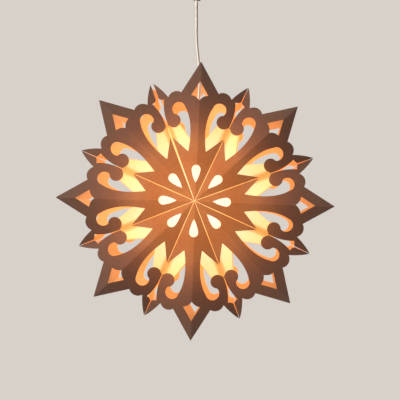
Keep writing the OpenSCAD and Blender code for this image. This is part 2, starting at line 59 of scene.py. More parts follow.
# Angles and axes of one half sheet: E1 along the seam, E2 across it, E3 outwards
PITCH = (2 * math.pi - 2 * math.asin(PAD_ROOM / WALL_TIP)) / POINTS
HALF = PITCH / 2
CENTRE = np.array([0.0, 0.0, CENTRE_DEPTH])
SEAM_VEC = np.array([SMALL_R, 0.0, SMALL_DEPTH - CENTRE_DEPTH])
RIDGE_VEC = np.array([LARGE_R * math.cos(HALF), LARGE_R * math.sin(HALF), LARGE_DEPTH - CENTRE_DEPTH])
E1 = SEAM_VEC / np.linalg.norm(SEAM_VEC)
E3 = np.cross(SEAM_VEC, RIDGE_VEC)
E3 = E3 / np.linalg.norm(E3)
E2 = np.cross(E3, E1)
SMALL_LEN, LARGE_LEN = np.linalg.norm(SEAM_VEC), np.linalg.norm(RIDGE_VEC)
RIDGE_ANGLE = math.acos(E1 @ RIDGE_VEC / LARGE_LEN)
RIDGE_WAY = np.array([math.cos(RIDGE_ANGLE), math.sin(RIDGE_ANGLE)])
RIDGE_SIDE = np.array([math.sin(RIDGE_ANGLE), -math.cos(RIDGE_ANGLE)])

# Camera: a little right of the star's axis and below it, with its view shifted back to the star
STAR_Z = -DROP * MM
PIXEL, IMAGE, SENSOR = 1.72 * MM, 400, 36.0
VIEW = IMAGE * PIXEL
EYE_AWAY, EYE_RIGHT, EYE_UP = 0.7, 72 * MM, -30 * MM
VIEW_RIGHT, VIEW_UP = 4.8 * PIXEL, 1.2 * PIXEL
camera_data = bpy.data.cameras.new("camera")
camera_data.sensor_width = SENSOR
camera_data.lens = SENSOR * EYE_AWAY / VIEW
camera_data.shift_x = (VIEW_RIGHT - EYE_RIGHT) / VIEW
camera_data.shift_y = (VIEW_UP - EYE_UP) / VIEW
camera = bpy.data.objects.new("camera", camera_data)
camera.location = (EYE_RIGHT, -LARGE_DEPTH * MM - EYE_AWAY, STAR_Z + EYE_UP)
camera.rotation_euler = (math.pi / 2, 0, 0)
bpy.context.scene.collection.objects.link(camera)
bpy.context.scene.camera = camera
bpy.context.scene.view_settings.view_transform = "Standard"

# Materials: sizes of their patterns, the span that noise mostly keeps to, and what makes a shader a metal
CLUMP, TOOTH, TOOTH_DEPTH = 6.0, 0.9, 0.12
CLOUD = 8.0
NOISE_SPAN = {"From Min": 0.3, "From Max": 0.7}
METAL = {"Metallic": 1.0}


def linear(code):
    """sRGB hex text as linear RGBA."""
    c = np.array([int(code[i:i + 2], 16) for i in (1, 3, 5)]) / 255
    c = np.where(c <= 0.04045, c / 12.92, ((c + 0.055) / 1.055) ** 2.4)
    return (*c.tolist(), 1.0)


def lit(code, strength):
    """Socket values of a surface that glows."""
    return {"Emission Color": linear(code), "Emission Strength": strength}


def add(tree, kind, inputs=None, marks=(), **settings):
    """Adds one node with its settings, sets or links its inputs, and puts (place, hex colour) marks on its ramp."""
    made = tree.nodes.new("ShaderNode" + kind)
    for key, value in settings.items():
        setattr(made, key, value)
    for key, value in (inputs or {}).items():
        if isinstance(value, bpy.types.NodeSocket):
            tree.links.new(value, made.inputs[key])
        else:
            made.inputs[key].default_value = value
    if marks:
        held = made.color_ramp.elements
        while len(held) < len(marks):
            held.new(0.5)
        for one, (place, code) in zip(held, marks):
            one.position, one.color = place, linear(code)
    return made


def node_material(name):
    """Material with an empty node tree, and that tree."""
    made = bpy.data.materials.new(name)
    made.use_nodes = True
    made.node_tree.nodes.clear()
    return made, made.node_tree


def paper(name, colours, glow, strength, seam_glow=None):
    """Uncoated paper: matt, with cloudy fibre clumps, a fine tooth and a paler line along its creases, part broken
    fibres and part painted highlight.

    colours, the base colour, and glow, the emission, are marks along the distance from the lamp, as a share of the
    large tips' radius: both are painted lamplight shining through the sheet, with painted shade where the lamp is far.
    Clumps and tooth are coarser than life so that they show. The attribute crease is 1 on a fold and falls off within
    a millimetre.
    With seam_glow, the attribute seam, which is 1 on a seam, draws the glow towards those marks: a painted shade along
    the seams.
    """
    made, tree = node_material(name)
    place = add(tree, "TexCoord").outputs["Object"]
    away = add(tree, "VectorMath", {0: place, 1: (0, 0, STAR_Z)}, operation="SUBTRACT")
    far = add(tree, "VectorMath", {0: away.outputs[0]}, operation="LENGTH")
    share = add(tree, "Math", {0: far.outputs["Value"], 1: LARGE_R * MM}, operation="DIVIDE").outputs[0]
    clumps = add(tree, "TexNoise", {"Vector": place, "Scale": 1 / (CLUMP * MM), "Detail": 5.0, "Roughness": 0.62})
    tooth = add(tree, "TexNoise", {"Vector": place, "Scale": 1 / (TOOTH * MM), "Detail": 3.0, "Roughness": 0.6})
    mottle = add(tree, "MapRange", {**NOISE_SPAN, "Value": clumps.outputs[0], "To Min": 0.92, "To Max": 1.05})
    # Paler line along a fold: part broken fibres, part painted highlight of the crease
    crease_wear_and_highlight = add(tree, "Attribute", attribute_name="crease")
    tone = add(tree, "Math", {0: crease_wear_and_highlight.outputs["Fac"], 1: 0.22, 2: mottle.outputs[0]}, operation="MULTIPLY_ADD")
    # Base colour and emission by the distance from the lamp: painted lamplight through the sheet, painted shade far
    # from it
    base = add(tree, "ValToRGB", {"Fac": share}, colours)
    base = add(tree, "VectorMath", {0: base.outputs[0], 1: tone.outputs[0]}, operation="MULTIPLY")
    light = add(tree, "ValToRGB", {"Fac": share}, glow)
    # Painted shade along the seams: there the glow turns a deeper orange
    if seam_glow:
        near = add(tree, "Attribute", attribute_name="seam")
        deeper = add(tree, "ValToRGB", {"Fac": share}, seam_glow)
        light = add(tree, "MixRGB", {0: near.outputs["Fac"], 1: light.outputs[0], 2: deeper.outputs[0]})
    light = add(tree, "VectorMath", {0: light.outputs[0], 1: mottle.outputs[0]}, operation="MULTIPLY")
    bump = add(tree, "Bump", {"Height": tooth.outputs[0], "Strength": 0.25, "Distance": TOOTH_DEPTH * MM})
    shader = add(tree, "BsdfPrincipled", {
        "Base Color": base.outputs[0], "Roughness": 0.85, "Specular IOR Level": 0.3,
        "Emission Color": light.outputs[0], "Emission Strength": strength, "Normal": bump.outputs[0]})
    add(tree, "OutputMaterial", {"Surface": shader.outputs[0]})
    return made


def moulded(name, colour, rough, grain, depth, more=None):
    """Moulded or drawn piece: an even colour with a faint cloud, uneven gloss and a grained skin.

    The grain's width and depth are in millimetres. more has the values of further sockets.
    """
    made, tree = node_material(name)
    place = add(tree, "TexCoord").outputs["Object"]
    cloud = add(tree, "TexNoise", {"Vector": place, "Scale": 1 / (CLOUD * MM), "Detail": 4.0})
    skin = add(tree, "TexNoise", {"Vector": place, "Scale": 1 / (grain * MM), "Detail": 2.0})
    span = {**NOISE_SPAN, "Value": cloud.outputs[0]}
    tone = add(tree, "MapRange", {**span, "To Min": 0.94, "To Max": 1.02})
    gloss = add(tree, "MapRange", {**span, "To Min": rough * 0.85, "To Max": rough * 1.2})
    base = add(tree, "VectorMath", {0: linear(colour)[:3], 1: tone.outputs[0]}, operation="MULTIPLY")
    bump = add(tree, "Bump", {"Height": skin.outputs[0], "Strength": 0.3, "Distance": depth * MM})
    shader = add(tree, "BsdfPrincipled", {
        "Base Color": base.outputs[0], "Roughness": gloss.outputs[0], "Normal": bump.outputs[0], **(more or {})})
    add(tree, "OutputMaterial", {"Surface": shader.outputs[0]})
    return made


# Heavy drawing paper; its warm brown base colour and its glow are painted lamplight: orange where the lamp is near,
# greyer and darker towards the tips, a painted shade
outer_paper = paper(
    "drawing_paper_outside",
    [(0.0, "#C0743E"), (0.2, "#B86C3E"), (0.33, "#B46638"), (0.45, "#BC744A"), (0.6, "#935C43"), (0.8, "#7C5644"),
     (1.0, "#74584A")],
    [(0.17, "#9C5C2E"), (0.33, "#8C4E24"), (0.5, "#6A3A1C"), (0.7, "#341A0D"), (1.0, "#0C0604")], strength=1.0)
# The same paper inside, a lit copy: its paler base colour and strong glow are painted light straight from the lamp
inner_paper = paper(
    "drawing_paper_lit_inside",
    [(0.0, "#E8B070"), (0.5, "#DC9C5C"), (1.0, "#C08A60")],
    [(0.0, "#F0C478"), (0.4, "#EBAC60"), (0.7, "#DE9A56"), (0.88, "#C07E48"), (1.0, "#8A5630")], strength=0.85)
# Cut edges of the same paper: their pale base colour and glow are a painted highlight, as of edges that catch the
# light
edge_paper = paper(
    "drawing_paper_cut_edge",
    [(0.0, "#F0C498"), (1.0, "#CDB6A2")],
    [(0.0, "#F0A860"), (0.5, "#C06A30"), (1.0, "#301808")], strength=0.6)
# Inner walls: thinner drawing paper; their base colour and glow are painted light from the lamp right behind them
wall_paper = paper(
    "drawing_paper_wall",
    [(0.0, "#EBC088"), (0.5, "#DDA468"), (1.0, "#CC9870")],
    [(0.3, "#F8CC80"), (0.45, "#EFAA5E"), (0.7, "#DC9450"), (0.9, "#BC7842")], strength=0.8)
# Tissue behind the inner cut-outs: its near-white glow is painted lamplight that it scatters evenly, and its deeper
# yellow along the seams is painted shade
liner_paper = paper(
    "tissue_paper",
    [(0.0, "#C8A870"), (0.6, "#B08848")],
    [(0.17, "#FFFCF0"), (0.27, "#FFFAE6"), (0.34, "#FFF2C6"), (0.42, "#FFEEB0"), (0.52, "#FFE69C"),
     (0.66, "#FFD078")], strength=0.95,
    # Painted shade: the glow's deeper colours along the seams
    seam_glow=[(0.17, "#FFDF8C"), (0.3, "#FFB868"), (0.45, "#EFA050"), (0.6, "#E89644")])
# White PVC lamp cord, extruded, faintly wavy
cord_pvc = moulded("extruded_pvc", "#CFC8BE", rough=0.45, grain=1.5, depth=0.05)
# White ABS, moulded and lightly polished
white_abs = moulded("moulded_abs", "#D8D5CF", rough=0.3, grain=1.6, depth=0.005)
# Soft rubber, moulded and dusty
grey_rubber = moulded("moulded_rubber", "#BDBAB5", rough=0.7, grain=0.8, depth=0.05)
# Zinc-plated steel strip and rod, with a fine drawn skin
zinc_steel = moulded("zinc_plated_steel", "#B4B6B8", rough=0.33, grain=0.5, depth=0.02, more=METAL)
# Bright drawn spring wire
spring_wire = moulded("spring_steel", "#C0C2C4", rough=0.25, grain=0.4, depth=0.01, more=METAL)
# Brass strip, stamped
brass = moulded("stamped_brass", "#C8A050", rough=0.28, grain=0.5, depth=0.01, more=METAL)
# Aluminium bulb cap, rolled
cap_aluminium = moulded("rolled_aluminium", "#C4C6C9", rough=0.3, grain=0.5, depth=0.01, more=METAL)
# Black glass under the bulb's contact
black_glass = moulded("black_glass", "#16161A", rough=0.15, grain=2.0, depth=0.02)
# Unglazed steatite of the holder's core
steatite = moulded("steatite", "#D8D0BE", rough=0.65, grain=0.6, depth=0.03)
# Opal glass of the bulb, lit
opal_glass = moulded("opal_glass", "#FFF3DC", rough=0.12, grain=3.0, depth=0.01, more=lit("#FFE6B0", 1.4))
# Glowing rods on a glass stem
glow_rods = moulded("phosphor_rods", "#FFE2A0", rough=0.5, grain=0.8, depth=0.02, more=lit("#FFD890", 2.0))
# Woven tape with a napped face; its orange emission is a painted glow, as of the paper's lamplight on it
napped_tape = moulded("napped_tape", "#D8C4A8", rough=0.9, grain=0.5, depth=0.2, more=lit("#B87040", 0.6))


# Shapes
def ramp(x, start, end):
    """Straight rise from 0 at one value to 1 at another, level beyond them."""
    return np.clip((x - start) / (end - start), 0, 1)


def curve(a, b, c, n):
    """Quadratic curve from a to c, pulled towards b: (1-t)^2 a + 2t(1-t) b + t^2 c."""
    t = np.linspace(0, 1, n + 1)[:, None]
    return (1 - t) ** 2 * np.array(a) + 2 * t * (1 - t) * np.array(b) + t ** 2 * np.array(c)


def arc(centre, r, start, end, n):
    """Circle about a centre from one angle to another, in degrees: centre + r (cos, sin)."""
    a = np.radians(np.linspace(start, end, n + 1))
    return np.array(centre) + r * np.stack([np.cos(a), np.sin(a)], 1)


def circle(centre, r, n):
    """Whole circle of n points."""
    return arc(centre, r, 0, 360, n)[:-1]


def line(a, b, step):
    """Straight run from a to b with points about a step apart."""
    a, b = np.array(a, float), np.array(b, float)
    n = max(1, int(round(np.linalg.norm(b - a) / step)))
    return a + np.linspace(0, 1, n + 1)[:, None] * (b - a)


def closed(*runs):
    """Runs of points joined to one outline, without repeated points."""
    p = np.vstack(runs)
    return p[np.linalg.norm(p - np.roll(p, 1, 0), axis=1) > 1e-3]


def softened(points, r, ring=True, n=5):
    """Outline whose corners are quadratic curves that begin and end up to r from the corner."""
    p = np.asarray(points, float)

    def towards(q):
        gap = np.maximum(np.linalg.norm(q - p, axis=1, keepdims=True), 1e-9)
        return p + (q - p) * np.minimum(r / gap, 0.45)

    a, c = towards(np.roll(p, 1, 0)), towards(np.roll(p, -1, 0))
    t = np.linspace(0, 1, n)[None, :, None]
    bent = (1 - t) ** 2 * a[:, None] + 2 * t * (1 - t) * p[:, None] + t ** 2 * c[:, None]
    return bent.reshape(-1, 2) if ring else np.vstack([p[:1], bent[1:-1].reshape(-1, 2), p[-1:]])


def wrapped(grid, ring, poles):
    """Faces of a grid of closed rings: rows joined one to the next, the last to the first or both ends to a pole."""
    rows, sides = grid.shape[:2]
    i, j = np.meshgrid(np.arange(rows if ring else rows - 1), np.arange(sides), indexing="ij")
    n, k = (i + 1) % rows, (j + 1) % sides
    quads = np.stack([i * sides + j, i * sides + k, n * sides + k, n * sides + j], -1).reshape(-1, 4)
    points, faces = grid.reshape(-1, 3), quads.tolist()
    if not ring:
        j, k, low, high = np.arange(sides), (np.arange(sides) + 1) % sides, len(points), len(points) + 1
        last = (rows - 1) * sides
        faces += np.stack([j * 0 + low, k, j], 1).tolist() + np.stack([j * 0 + high, j + last, k + last], 1).tolist()
        points = np.vstack([points, poles])
    return points, faces


def lathed(profile, sides=72):
    """Profile of (r, z) carried round the Z axis: (r cos a, r sin a, z). A ring, or on the axis at both ends."""
    p = np.asarray(profile, float)
    ring = p[0, 0] > 1e-6
    rows = p if ring else p[1:-1]
    a = np.linspace(0, 2 * np.pi, sides, endpoint=False)
    r, z = rows[:, :1], rows[:, 1:]
    grid = np.stack([r * np.cos(a), r * np.sin(a), z + 0 * a], -1)
    return wrapped(grid, ring, [[0, 0, p[0, 1]], [0, 0, p[-1, 1]]])


def along(path, at):
    """Points at given distances along a path."""
    far = np.concatenate([[0], np.cumsum(np.linalg.norm(np.diff(path, axis=0), axis=1))])
    return np.stack([np.interp(at, far, path[:, i]) for i in range(path.shape[1])], 1)


def length_of(path):
    """Length of a path."""
    return np.linalg.norm(np.diff(path, axis=0), axis=1).sum()


def swept(path, r, flat, sides, ring=False):
    """Round section about a path in a plane: path + r (cos a N + sin a F), F square to that plane and N = F x way."""
    way = np.roll(path, -1, 0) - np.roll(path, 1, 0) if ring else np.gradient(path, axis=0)
    way = way / np.linalg.norm(way, axis=1)[:, None]
    side = np.cross(flat, way)
    a = np.linspace(0, 2 * np.pi, sides, endpoint=False)[None, :, None]
    r = np.broadcast_to(r, len(path))[:, None, None]
    return path[:, None] + r * (np.cos(a) * side[:, None] + np.sin(a) * np.array(flat, float))


def rod(path, r, flat, step=1.2, sides=24):
    """Rod with rounded ends: within r of an end, at a distance e from it, its radius is sqrt(r^2 - (r - e)^2)."""
    path = np.asarray(path, float)
    whole = length_of(path)
    end = r * (1 - np.cos(np.linspace(0.25, np.pi / 2, 7)))
    at = np.concatenate([end, np.arange(r + step / 2, whole - r, step), whole - end[::-1]])
    e = np.minimum(np.minimum(at, whole - at), r)
    return wrapped(swept(along(path, at), np.sqrt(r ** 2 - (r - e) ** 2), flat, sides), False, [path[0], path[-1]])


def hoop(centre, big_r, r, flat, across, sides=24, n=72):
    """Torus: a circle of radius big_r about a centre, square to flat, swept with a round section."""
    a = np.linspace(0, 2 * np.pi, n, endpoint=False)[:, None]
    path = np.array(centre) + big_r * (np.cos(a) * np.array(across) + np.sin(a) * np.cross(flat, across))
    return wrapped(swept(path, r, flat, sides, True), True, None)


def joined(*shapes):
    """Several shapes as one set of points and faces."""
    starts = np.cumsum([0] + [len(points) for points, _ in shapes])
    faces = [[v + start for v in face] for (_, held), start in zip(shapes, starts) for face in held]
    return np.vstack([points for points, _ in shapes]), faces


def piece(name, body, slot, shape, paints, node, paint_of=None, sharp=None, **values):
    """Mesh object at the origin from millimetre points and faces: it rides on a body and stands for a CAD node.

    sharp is an array of edges or an angle in degrees. Further values are float attributes on the points.
    """
    points, faces = shape
    mesh = bpy.data.meshes.new(name)
    mesh.from_pydata((points * MM).tolist(), [], faces)
    mesh.polygons.foreach_set("use_smooth", np.ones(len(mesh.polygons), bool))
    for paint in paints:
        mesh.materials.append(paint)
    if paint_of is not None:
        mesh.polygons.foreach_set("material_index", np.asarray(paint_of, np.int32))
    for key, value in values.items():
        mesh.attributes.new(key, "FLOAT", "POINT").data.foreach_set("value", np.asarray(value, np.float32))
    if isinstance(sharp, (int, float)):
        mesh.set_sharp_from_angle(angle=math.radians(sharp))
    elif sharp is not None:
        ends = np.zeros(2 * len(mesh.edges), np.int32)
        mesh.edges.foreach_get("vertices", ends)
        ends = np.sort(ends.reshape(-1, 2), axis=1).astype(np.int64)
        want = np.sort(sharp, axis=1).astype(np.int64)
        size = len(points) + 1
        flags = np.isin(ends[:, 0] * size + ends[:, 1], want[:, 0] * size + want[:, 1])
        mesh.attributes.new("sharp_edge", "BOOLEAN", "EDGE").data.foreach_set("value", flags)
    mesh.update()
    made = bpy.data.objects.new(name, mesh)
    bpy.context.scene.collection.objects.link(made)
    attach(made, body)
    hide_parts(node)
    return made


def plastic(node, body, shape):
    """Piece of moulded white plastic that stands for a CAD node."""
    return piece(f"{node}_moulding", body, "white_plastic", shape, [white_abs], node, sharp=40)


# Cord and the eye that it ends in, which hangs in the hook
CORD_D, CORD_LOW, CORD_TOP, BORE_R = 5.0, -330.4, -42.7, 2.6
CORD_ROUTE = np.array([
    (0, CORD_LOW), (0, -290), (0.5, -277), (1.8, -262), (3.6, -243), (5, -220), (5, -196), (3.4, -173),
    (1.2, -150), (0, -128), (0, -110), (0, -85), (0, -60), (0, CORD_TOP)])
RING_MID, RING_R, RING_SECTION = -28.7, 7.0, 2.0
BARREL_TOP, BARREL_LOW, BARREL_R, BARREL_SLOPE = -35.7, -50.7, 5.5, (1.4, 1.9)
CRIMP_LOWS, CRIMP_W, CRIMP_T = (-48.2, -42.6), 2.6, 0.6


def smooth_path(points, n):
    """Points evenly spread along a Catmull-Rom curve through a route."""
    p = np.vstack([2 * points[0] - points[1], points, 2 * points[-1] - points[-2]])
    t = np.linspace(0, 1, 12, endpoint=False)[None, :, None]
    a, b, c, d = (p[i:len(p) - 3 + i, None] for i in range(4))
    run = 0.5 * (2 * b + (c - a) * t + (2 * a - 5 * b + 4 * c - d) * t ** 2 + (3 * b - a - 3 * c + d) * t ** 3)
    run = np.vstack([run.reshape(-1, 2), points[-1:]])
    return along(run, np.linspace(0, length_of(run), n))


flat_path = smooth_path(CORD_ROUTE, 90)
cord_path = np.stack([flat_path[:, 0], flat_path[:, 0] * 0, flat_path[:, 1]], 1)
lamp_cord = piece(
    "lamp_cord", "drop_cord", "cord", rod(cord_path, CORD_D / 2, (0, 1, 0), step=2.5), [cord_pvc], "cord", sharp=50)

crimps = [(BARREL_R - deep, low + up) for low in CRIMP_LOWS
          for deep, up in ((0, 0), (CRIMP_T, CRIMP_T), (CRIMP_T, CRIMP_W - CRIMP_T), (0, CRIMP_W))]
barrel = lathed(softened(np.vstack([
    [(0, CORD_TOP), (BORE_R, CORD_TOP), (BORE_R, BARREL_LOW), (BARREL_R, BARREL_LOW)], crimps,
    [(BARREL_R, BARREL_TOP - BARREL_SLOPE[1]), (BARREL_R - BARREL_SLOPE[0], BARREL_TOP), (0, BARREL_TOP)]]),
    0.7, ring=False))
ring = hoop((0, 0, RING_MID), RING_R, RING_SECTION, (0, 1, 0), (1, 0, 0))
eye = plastic("cord_eye", "drop_cord", joined(barrel, ring))

# Light: a soft key from the upper left, a weak fill from the front left, lights behind and above, and a pale world
BACKDROP = "#D8D1C9"


def area_light(name, place, size, power, colour, spread):
    """Square soft light that faces the star, with a beam of a given spread in degrees."""
    data = bpy.data.lights.new(name, "AREA")
    data.shape, data.size, data.energy = "SQUARE", size, power
    data.color, data.spread = linear(colour)[:3], math.radians(spread)
    lamp = bpy.data.objects.new(name, data)
    lamp.location = place
    lamp.rotation_euler = (Vector((0, 0, STAR_Z)) - Vector(place)).to_track_quat("-Z", "Y").to_euler()
    bpy.context.scene.collection.objects.link(lamp)


def pale_world():
    """World that lights evenly and weakly, and that camera, metal and glass see as a plain backdrop."""
    world = bpy.data.worlds.new("studio")
    bpy.context.scene.world = world
    world.use_nodes = True
    tree = world.node_tree
    tree.nodes.clear()
    ray = add(tree, "LightPath").outputs
    seen = add(tree, "Math", {0: ray["Is Camera Ray"], 1: ray["Is Glossy Ray"]}, operation="MAXIMUM")
    seen = add(tree, "Math", {0: seen.outputs[0], 1: ray["Is Transmission Ray"]}, operation="MAXIMUM")
    soft = add(tree, "Background", {"Color": linear("#F4F1EE"), "Strength": 0.15})
    pale = add(tree, "Background", {"Color": linear(BACKDROP), "Strength": 1.0})
    both = add(tree, "MixShader", {0: seen.outputs[0], 1: soft.outputs[0], 2: pale.outputs[0]})
    add(tree, "OutputWorld", {"Surface": both.outputs[0]})


area_light("key", (-2.7, -0.6, 1.2), size=0.9, power=16, colour="#FFF6EA", spread=55)
area_light("fill", (-1.1, -1.6, -0.2), size=1.2, power=5, colour="#F2F5FF", spread=180)
area_light("behind", (1.4, 1.0, 0.5), size=0.8, power=5, colour="#FFF8F0", spread=70)
area_light("above", (0, 0, 3.0), size=2.4, power=95, colour="#FFF9F3", spread=180)
pale_world()

# Outline of a half sheet, along and across the seam, whose edges draw together at the centre and the small tip
EDGE, TIP_EDGE, MID_EDGE = SEAM_GAP / 2, 0.3, 0.1
SEAM_OPENS, SEAM_CLOSES = 45.0, 192.0
START = np.array([MID_EDGE / math.tan(RIDGE_ANGLE), MID_EDGE])
TIP = RIDGE_WAY * LARGE_LEN
NOTCH = np.array([186.0, 17.5])
FAR_NOTCH = NOTCH + [-1.0, 24.0]
SCALLOP_RISE, TIP_SWELL = 6.0, np.array([3.0, 1.6])

# Its cut-outs: scroll, knob and arrow along and across the seam, teardrop and diamond along and across the ridge
CURL, CURL_R, CURL_BACK, CURL_FOOT = np.array([160.0, 28.0]), 11.5, 95, -85
KNOB, KNOB_R, KNOB_SIDE = np.array([143.5, 13.0]), 11.8, 35
LANCET, PETAL, PETAL_END = np.array([84.0, 18.4]), np.array([118.5, 0.0]), (137.6, 0.0)
SCROLL_BEND = (127.0, 44.6)
ARROW_FOOT, ARROW_BEND, ARROW_TOP = (147.0, 0.0), (171.0, 1.6), (191.0, 0.0)
BARB, BARB_BEND = (185.0, 9.2), (186.0, 3.0)
BLUNT = 0.15
DROP_FOOT, DROP_BEND, DROP_MID, DROP_R = (31.0, -BLUNT), (43.0, -6.6), 54.0, 7.7
DIAMOND_FOOT, DIAMOND_BEND = (173.0, -BLUNT), (181.0, -5.92)
DIAMOND_SIDE, DIAMOND_TOP = (182.0, -14.8), (206.0, -BLUNT)


def on_circle(centre, r, degrees):
    """Point on a circle at an angle."""
    return arc(centre, r, degrees, degrees, 1)[0]


def on_ridge(*runs):
    """Outline alike on both sides of the ridge, from runs drawn along X for one side and turned to the ridge."""
    half = np.vstack(runs)
    c, s = RIDGE_WAY
    return closed(half, half[::-1] * [1, -1]) @ np.array([[c, s], [-s, c]])


def scallop(a, b, rise, n):
    """Circular arc over the chord a-b with a given rise: radius (h^2 + rise^2) / (2 rise) for half a chord h."""
    half = np.linalg.norm(b - a) / 2
    r = (half ** 2 + rise ** 2) / (2 * rise)
    side = np.array([(b - a)[1], -(b - a)[0]]) / (2 * half)
    mid, spread = math.degrees(math.atan2(side[1], side[0])), math.degrees(math.asin(half / r))
    return arc((a + b) / 2 + (rise - r) * side, r, mid - spread, mid + spread, n)


curl_back, curl_foot = on_circle(CURL, CURL_R, CURL_BACK), on_circle(CURL, CURL_R, CURL_FOOT)
knob_side = on_circle(KNOB, 0.9 * KNOB_R, KNOB_SIDE)
sheet_outline = closed(
    line(START, (SEAM_OPENS, EDGE), 2.0), line((SEAM_OPENS, EDGE), (SEAM_CLOSES, EDGE), 2.0),
    line((SEAM_CLOSES, EDGE), (SMALL_LEN, TIP_EDGE), 2.0),
    curve((SMALL_LEN, TIP_EDGE), ([SMALL_LEN, 0] + NOTCH) / 2 + TIP_SWELL, NOTCH, 18),
    scallop(NOTCH, FAR_NOTCH, SCALLOP_RISE, 20), line(FAR_NOTCH, TIP, 2.0), line(TIP, START, 2.0))
scroll_outline = closed(
    line(PETAL, PETAL_END, 2.0), [KNOB],
    curve(knob_side, (knob_side + curl_foot) / 2 - [0, 2], curl_foot, 8),
    arc(CURL, CURL_R, CURL_FOOT + 5, CURL_BACK - 5, 36),
    curve(curl_back, SCROLL_BEND, LANCET, 44), line(LANCET, PETAL, 1.6))
knob_outline = circle(KNOB, KNOB_R, 60)
arrow_outline = closed(
    curve(ARROW_FOOT, ARROW_BEND, BARB, 24), curve(BARB, BARB_BEND, ARROW_TOP, 10), line(ARROW_TOP, ARROW_FOOT, 2.0))
teardrop_outline = on_ridge(
    curve(DROP_FOOT, DROP_BEND, (DROP_MID, -DROP_R), 16), arc((DROP_MID, 0), DROP_R, -90, 0, 15))
diamond_outline = on_ridge(
    curve(DIAMOND_FOOT, DIAMOND_BEND, DIAMOND_SIDE, 14), line(DIAMOND_SIDE, DIAMOND_TOP, 1.6))


def inside(points, outline):
    """Even-odd test of many points against one outline."""
    x, y = points[:, :1], points[:, 1:]
    x0, y0 = outline[:, 0], outline[:, 1]
    x1, y1 = np.roll(x0, -1), np.roll(y0, -1)
    with np.errstate(divide="ignore", invalid="ignore"):
        hit = ((y0 > y) != (y1 > y)) & (x < (x1 - x0) * (y - y0) / (y1 - y0) + x0)
    return hit.sum(1) % 2 == 1


def on_paper(points):
    """True where a half sheet has paper: in the outline, before the ridge and in no cut-out."""
    hole = inside(points, scroll_outline) & ~inside(points, knob_outline)
    for cut in (arrow_outline, teardrop_outline, diamond_outline):
        hole |= inside(points, cut)
    return inside(points, sheet_outline) & (points @ RIDGE_SIDE > -1e-6) & ~hole


def clear_of(points, outlines, gap):
    """True where a point is further than a gap from every outline's edges."""
    a = np.vstack(outlines)
    way = np.vstack([np.roll(o, -1, 0) for o in outlines]) - a
    t = np.clip(((points[:, None] - a) * way).sum(2) / np.maximum((way ** 2).sum(1), 1e-9), 0, 1)
    return np.linalg.norm(points[:, None] - (a + t[..., None] * way), axis=2).min(1) > gap


def filled(outlines, fill, kept):
    """Triangles over outlines, as fixed edges, and points between them, kept where their middles pass a test."""
    sizes = [len(o) for o in outlines]
    starts = np.cumsum([0] + sizes[:-1])
    edges = [np.stack([np.arange(n), (np.arange(n) + 1) % n], 1) + at for n, at in zip(sizes, starts)]
    points = np.vstack(outlines + [fill])
    done = delaunay_2d_cdt([Vector(p) for p in points.tolist()], np.vstack(edges).tolist(), [], 0, 1e-4)
    flat, tris = np.array([tuple(p) for p in done[0]]), np.array(done[2])
    tris = tris[kept(flat[tris].mean(1))]
    used, tris = np.unique(tris, return_inverse=True)
    return flat[used], tris.reshape(-1, 3)


# How a sheet bends: rounding of its crease, the reach of the paler mark along it (broken fibres and painted
# highlight), its belly, and the lifts of tip and free edge over their runs
CREASE, CREASE_MARK_FALLOFF, BELLY = 0.7, 0.8, 0.01
TIP_LIFT, TIP_RUN = (0.2, 1.6), (165.0, 240.0)
EDGE_LIFT, EDGE_RUN, EDGE_START = (0.1, 0.9), (30.0, 75.0), (0.0, 150.0)
GRID, GRID_ROW, CREASE_ROWS, CREASE_STEP = 4.0, 3.5, (0.6, 1.5, 3.0), 2.5
# RIDGE_LINE is along the ridge, INWARDS into the star
RIDGE_LINE = np.array([LARGE_R, 0, LARGE_DEPTH - CENTRE_DEPTH]) / LARGE_LEN
INWARDS = np.array([RIDGE_LINE[2], 0, -RIDGE_LINE[0]])
SIDES = (("front", False), ("back", True))


def half_sheet_mesh():
    """Triangles of one flat half sheet, with a 4 mm grid between its outlines and rows of points beside the crease."""
    outlines = [sheet_outline, scroll_outline, knob_outline, arrow_outline, teardrop_outline, diamond_outline]
    gx, gy = np.meshgrid(np.arange(GRID / 2, LARGE_R, GRID), np.arange(GRID / 2, TIP[1], GRID_ROW))
    gx = gx + GRID / 2 * (np.arange(gx.shape[0])[:, None] % 2)
    grid = np.stack([gx.ravel(), gy.ravel()], 1)
    s, d = np.meshgrid(np.arange(6, LARGE_R - 2, CREASE_STEP), CREASE_ROWS)
    rows = s.ravel()[:, None] * RIDGE_WAY + d.ravel()[:, None] * RIDGE_SIDE
    fill = np.vstack([rows, grid[grid @ RIDGE_SIDE > CREASE_ROWS[-1] + 1.5]])
    return filled(outlines, fill[on_paper(fill) & clear_of(fill, outlines, 0.5)], on_paper)


